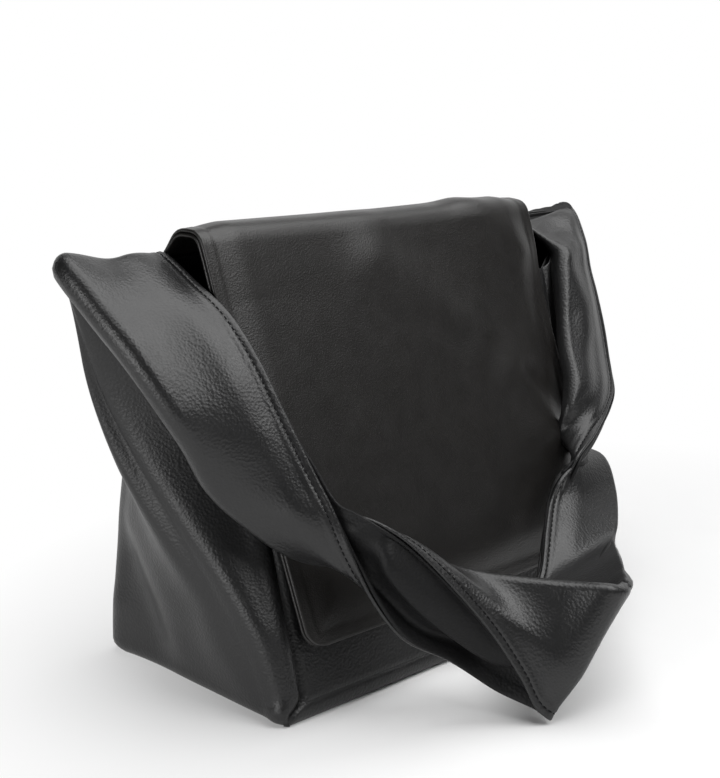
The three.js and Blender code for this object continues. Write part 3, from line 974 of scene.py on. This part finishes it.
# The same for the right half, with the run from the right ear
RIGHT_FOLDS = (
    (0.012, 0.0034, ((0.004, 0.052), (0.012, 0.072), (0.019, 0.087), (0.019, 0.101),
                     (0.014, 0.119), (0.010, 0.133))),
    (0.014, -0.0026, ((0.014, 0.030), (0.022, 0.030))),
    (0.008, 0.0018, ((0.046, 0.024), (0.030, 0.033), (0.016, 0.042))),
)
# Pleats of the strap's lining: half width, height, and points as distance from the near hem and run
LINING_FOLDS = (
    (0.0080, 0.0020, ((0.022, 0.203), (0.022, 0.250), (0.029, 0.283), (0.029, 0.299), (0.025, 0.340))),
    (0.0080, -0.0030, ((0.011, 0.203), (0.0115, 0.250), (0.015, 0.272), (0.018, 0.290), (0.014, 0.315))),
)


def strap_shares():
    """Shares of the hem at which the columns lie, closer together near the spine and the hems."""
    even = np.linspace(-1.0, 1.0, 2 * LEG_COLUMNS + 1)
    return even - STRAP_CROWD * np.sin(2.0 * np.pi * even) / np.pi


def strap_rails():
    """Spine, near hem and far hem of the strap, each a smooth curve through its stations."""
    stations = np.array(LEFT_STATIONS + (CREASE_STATION,) + RIGHT_STATIONS[::-1], dtype=float) * MILLIMETRE
    shares = np.linspace(0.0, 1.0, STRAP_ROWS)
    gaps = np.linalg.norm(np.diff(stations, axis=0), axis=-1).mean(axis=1) ** STATION_POWER
    return [rail(stations[:, which], shares, gaps)[:, None] for which in range(3)]


def strap_sheet(spine, near, far):
    """Folded strap: from the near hem down one leg, round the spine and up the other leg to the far hem.

    The legs part as a smooth share of the way from the spine to the hems, and a round nose at the spine
    adds to that and fades out along the leg.
    """
    side = strap_shares()[None, :, None]
    leg = np.abs(side)
    middle = (near + far) / 2.0
    apart = (far - near) / 2.0
    axis = unit(middle - spine)
    outward = unit(apart - axis * np.sum(apart * axis, axis=-1, keepdims=True))
    width = np.linalg.norm(middle - spine, axis=-1, keepdims=True)
    nose = np.clip(leg * width / SPINE_RADIUS, 0.0, 1.0)
    round_nose = SPINE_RADIUS * np.sqrt(1.0 - (1.0 - nose) ** 2)
    spread = apart * smooth(leg) + outward * round_nose * (1.0 - fade(leg, NOSE_FADE, 1.0))
    return spine + (middle - spine) * leg + np.sign(side) * spread


def line_inside(points, distance, inset):
    """Line through the rows of a sheet at a distance from its first column, by a straight blend."""
    rows = np.arange(len(points))
    after = np.argmax(distance >= inset, axis=1)
    start = distance[rows, after - 1]
    share = (inset - start) / (distance[rows, after] - start)
    return mix(points[rows, after - 1], points[rows, after], share[:, None])


def leg_distances(points):
    """Distance of each point from the spine along its row, below 0 on the near leg, and from its own hem."""
    run = run_across(points)
    return run - run[:, LEG_COLUMNS:LEG_COLUMNS + 1], np.minimum(run, run[:, -1:] - run)


def strap_lining(spine, near, far, outer, facing):
    """Slack lining of the strap: it leaves both hems inside the outer ply and pillows out between them.

    Where the hems lie close together the pillow sinks towards the spine, and where they part it swells out.
    Past the crease the pillow gives way to a lining that lies against the outer ply.
    """
    hem = leg_distances(outer)[1]
    step = mix(*LINING_STEP, smooth(hem / LINING_STEP_FADE))
    inside = outer - facing * step[..., None]
    middle = (near + far) / 2.0
    parted = np.linalg.norm(far - near, axis=-1, keepdims=True)
    lift = mix(PILLOW_SINK, PILLOW_SWELL, fade(parted, *PILLOW_PARTED))
    pillow = (middle + unit(middle - spine) * lift)[:, 0]
    deep = mix(inside[:, HEM_COLUMN], pillow, HEM_TO_PILLOW)
    controls = np.stack([inside[:, 0], deep, pillow, inside[:, -1 - HEM_COLUMN // 2], inside[:, -1]])
    shares = np.linspace(0.0, 1.0, LEG_COLUMNS + 1)
    slack = np.moveaxis(rail(controls, shares, LINING_GAPS), 0, 1)
    share = np.linspace(0.0, 1.0, len(spine))[:, None, None]
    return mix(slack, inside[:, ::2], fade(share, *PILLOW_END))


class BAG_OT_strap(bpy.types.Operator):
    """Make the folded strap, its lining and its stitches"""

    bl_idname = "bag.strap"
    bl_label = "Strap"

    def execute(self, context):
        sizes = context.scene.bag_sizes
        finish = context.scene.bag_finish
        rails = strap_rails()
        smooth_sheet = strap_sheet(*rails)
        across, hem = leg_distances(smooth_sheet)
        run = run_along(smooth_sheet[:, LEG_COLUMNS])[:, None] * np.ones_like(across)
        dent, dent_width = STITCH_DENT
        rise = soft_folds(across, run, STRAP_FOLDS) + soft_folds(across, run.max() - run, RIGHT_FOLDS)
        rise = rise * smooth(hem / sizes.stitch_inset)
        rise = rise - dent * bell(hem - sizes.stitch_inset, dent_width)
        points = smooth_sheet + normals_of(smooth_sheet) * rise[..., None]
        facing = normals_of(points)
        thickness = turned_edge(sizes, hem)
        outer = ply_piece("strap_outer_ply", points, thickness, bag_material("strap_leather", finish))
        inner = strap_lining(*rails, points, facing)
        inner_run = run_across(inner)
        inner_edge = np.minimum(inner_run, inner_run[:, -1:] - inner_run)
        pleats = soft_folds(inner_run, run[:, :1] * np.ones_like(inner_run), LINING_FOLDS)
        pleats = pleats * smooth(inner_edge / sizes.stitch_inset)
        inner = inner - normals_of(inner) * pleats[..., None]
        thickness = turned_edge(sizes, inner_edge)
        lining = ply_piece("strap_lining_ply", inner, thickness, bag_material("strap_inside", finish))
        for piece, sheet, nodes in ((outer, points, ("strap_left_outer", "strap_right_outer")),
                                    (lining, inner, ("strap_left_lining", "strap_right_lining"))):
            width = float(run_across(sheet)[:, -1].mean())
            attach(piece, "strap")
            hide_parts(*nodes)
        lines = []
        for turn in (slice(None), slice(None, None, -1)):
            path = line_inside(points[:, turn], hem[:, turn], sizes.stitch_inset)
            up = unit(line_inside(facing[:, turn], hem[:, turn], sizes.stitch_inset))
            lines.append((path + up * sizes.ply * STITCH_STAND, up))
        stitches = stitch_piece("strap_stitches", lines, sizes.stitch_pitch, STITCH_RADIUS,
                                bag_material("sewing_thread", finish))
        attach(stitches, "strap")
        return {"FINISHED"}


class BAG_OT_snap(bpy.types.Operator):
    """Give the snap's metal pieces their finish"""

    bl_idname = "bag.snap"
    bl_label = "Snap"

    def execute(self, context):
        metal = bag_material("snap_metal_dark", context.scene.bag_finish)
        for name in ("snap_socket", "snap_socket_washer", "snap_stud", "snap_stud_washer"):
            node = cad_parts[name]
            node.data.materials.clear()
            node.data.materials.append(metal)
        return {"FINISHED"}


# Stage
CAMERA_PLACE = (-0.5669, -0.5669, 0.3222)
CAMERA_TURN = (math.radians(76.87), 0.0, math.radians(-44.19))
CAMERA_LENS = 68.8
CAMERA_SENSOR = 36.0
CAMERA_NEAR = 0.01
WORLD_LEVEL = 0.04
SWEEP_NEAR = -4.0
SWEEP_FAR = 2.6
SWEEP_RADIUS = 0.8
SWEEP_HEIGHT = 3.0
SWEEP_HALF_WIDTH = 5.0
SWEEP_STEPS = 24
SWEEP_COLUMNS = 9
SWEEP_AHEAD = np.array([0.697, 0.717, 0.0])
SWEEP_BESIDE = np.array([0.717, -0.697, 0.0])
SWEEP_UP = np.array([0.0, 0.0, 1.0])
PAPER_NOISE = (40.0, 3.0)
PAPER_TINTS = (0.985, 1.0)
PAPER_ROUGHNESS = 0.9
PAPER_SHINE = 0.1
GLOW_CENTRE = (0.10, -0.14, 0.0)
GLOW_START = 0.20
GLOW_END = 0.42
LAMP_TARGET = (0.0, 0.0, 0.1)
# Lamps: name, place, size of the square and power in watts
LAMPS = (
    ("overhead_box", (0.30, -0.18, 1.62), 1.6, 26.0),
    ("right_box", (0.72, -0.90, 1.24), 0.8, 5.0),
    ("front_box", (0.14, -1.14, 0.98), 0.55, 5.0),
    ("left_window", (-1.60, -0.25, 0.40), 0.9, 12.0),
)


def add_lamp(name, place_at, target, size, energy):
    """Square soft lamp at a place, facing a target."""
    lamp = bpy.data.lights.new(name, "AREA")
    lamp.shape = "SQUARE"
    lamp.size = size
    lamp.energy = energy
    holder = bpy.data.objects.new(name, lamp)
    bpy.context.scene.collection.objects.link(holder)
    toward = np.array(target) - np.array(place_at)
    holder.location = place_at
    flat = math.hypot(toward[0], toward[1])
    turn = math.atan2(toward[1], toward[0]) - math.pi / 2.0
    holder.rotation_euler = (math.atan2(flat, -toward[2]), 0.0, turn)


def sweep_surface():
    """Studio sweep: a level floor that turns up behind the bag in a quarter circle, carried across."""
    turn = np.linspace(0.0, math.pi / 2.0, SWEEP_STEPS)
    bend = SWEEP_FAR + SWEEP_RADIUS * np.sin(turn)
    forward = np.concatenate([[SWEEP_NEAR], bend, [SWEEP_FAR + SWEEP_RADIUS]])
    height = np.concatenate([[0.0], SWEEP_RADIUS * (1.0 - np.cos(turn)), [SWEEP_HEIGHT]])
    across = np.linspace(-SWEEP_HALF_WIDTH, SWEEP_HALF_WIDTH, SWEEP_COLUMNS)
    points = (
        forward[:, None, None] * SWEEP_AHEAD
        + across[None, :, None] * SWEEP_BESIDE
        + height[:, None, None] * SWEEP_UP
    )
    return points.reshape(-1, 3), quads(len(forward), len(across), False)


def sweep_material(colour):
    """White paper, matt and lightly mottled, which glows white away from the bag for the rays that show it.

    The glow grows with the distance from a point before the bag, so that the floor there keeps the shadow.
    """
    material, tree, shader, place_on = node_material("white_paper")
    tooth = noise(tree, place_on, *PAPER_NOISE)
    feed(tree, shader, {
        "Base Color": tinted(tree, tooth, colour, *PAPER_TINTS),
        "Roughness": PAPER_ROUGHNESS,
        "Specular IOR Level": PAPER_SHINE,
    })
    distance = add_node(tree, "ShaderNodeVectorMath", {0: place_on, 1: GLOW_CENTRE}, operation="DISTANCE")
    away = ranged(tree, distance.outputs["Value"], 0.0, 1.0, GLOW_START, GLOW_END)
    ray = tree.nodes.new("ShaderNodeLightPath")
    shown = ray.outputs["Is Camera Ray"]
    for other in ("Is Glossy Ray", "Is Transmission Ray"):
        shown = combined(tree, "MAXIMUM", shown, ray.outputs[other])
    glow = add_node(tree, "ShaderNodeEmission", {"Color": WHITE, "Strength": 1.0})
    share = combined(tree, "MULTIPLY", away, shown)
    inputs = {"Fac": share, 1: shader.outputs["BSDF"], 2: glow.outputs["Emission"]}
    blend = add_node(tree, "ShaderNodeMixShader", inputs)
    output = next(node for node in tree.nodes if node.type == "OUTPUT_MATERIAL")
    tree.links.new(blend.outputs["Shader"], output.inputs["Surface"])
    return material


class BAG_OT_stage(bpy.types.Operator):
    """Make the floor, the lamps, the world and the camera"""

    bl_idname = "bag.stage"
    bl_label = "Stage"

    def execute(self, context):
        scene = context.scene
        scene.view_settings.view_transform = "Standard"
        camera = bpy.data.cameras.new("photo_camera")
        camera.sensor_width = CAMERA_SENSOR
        camera.lens = CAMERA_LENS
        camera.clip_start = CAMERA_NEAR
        holder = bpy.data.objects.new("photo_camera", camera)
        holder.location = CAMERA_PLACE
        holder.rotation_euler = CAMERA_TURN
        scene.collection.objects.link(holder)
        scene.camera = holder

        floor = new_object("studio_sweep", *sweep_surface(), sweep_material(scene.bag_finish.floor))

        world = bpy.data.worlds.new("studio")
        scene.world = world
        world.use_nodes = True
        fill = world.node_tree.nodes["Background"]
        fill.inputs["Color"].default_value = WHITE
        fill.inputs["Strength"].default_value = WORLD_LEVEL
        for name, place_at, size, energy in LAMPS:
            add_lamp(name, place_at, LAMP_TARGET, size, energy)
        return {"FINISHED"}


OPERATORS = (BAG_OT_body, BAG_OT_inside, BAG_OT_flap, BAG_OT_strap, BAG_OT_snap, BAG_OT_stage)


class BAG_PT_sidebar(bpy.types.Panel):
    """List the bag's pieces and their settings"""

    bl_idname = "BAG_PT_sidebar"
    bl_label = "Shoulder bag"
    bl_space_type = "VIEW_3D"
    bl_region_type = "UI"
    bl_category = "Bag"

    def draw(self, context):
        layout = self.layout
        for settings in (context.scene.bag_sizes, context.scene.bag_finish):
            for name in settings.bl_rna.properties.keys():
                if name not in ("rna_type", "name"):
                    layout.prop(settings, name)
        for operator in OPERATORS:
            layout.operator(operator.bl_idname)


CLASSES = (BagSizes, BagFinish) + OPERATORS + (BAG_PT_sidebar,)


def register():
    """Register the classes and hang their settings on the scene."""
    for each in CLASSES:
        bpy.utils.register_class(each)
    bpy.types.Scene.bag_sizes = bpy.props.PointerProperty(type=BagSizes)
    bpy.types.Scene.bag_finish = bpy.props.PointerProperty(type=BagFinish)


def unregister():
    """Take the settings and the classes away again."""
    del bpy.types.Scene.bag_finish
    del bpy.types.Scene.bag_sizes
    for each in reversed(CLASSES):
        bpy.utils.unregister_class(each)


def corners(box):
    """Box as plain lists of numbers."""
    return [[float(value) for value in corner] for corner in box]


def main():
    """Make the whole bag and its stage."""
    register()
    bpy.ops.bag.body()
    bpy.ops.bag.inside()
    bpy.ops.bag.flap()
    bpy.ops.bag.strap()
    bpy.ops.bag.snap()
    bpy.ops.bag.stage()


if __name__ == "__main__":
    main()
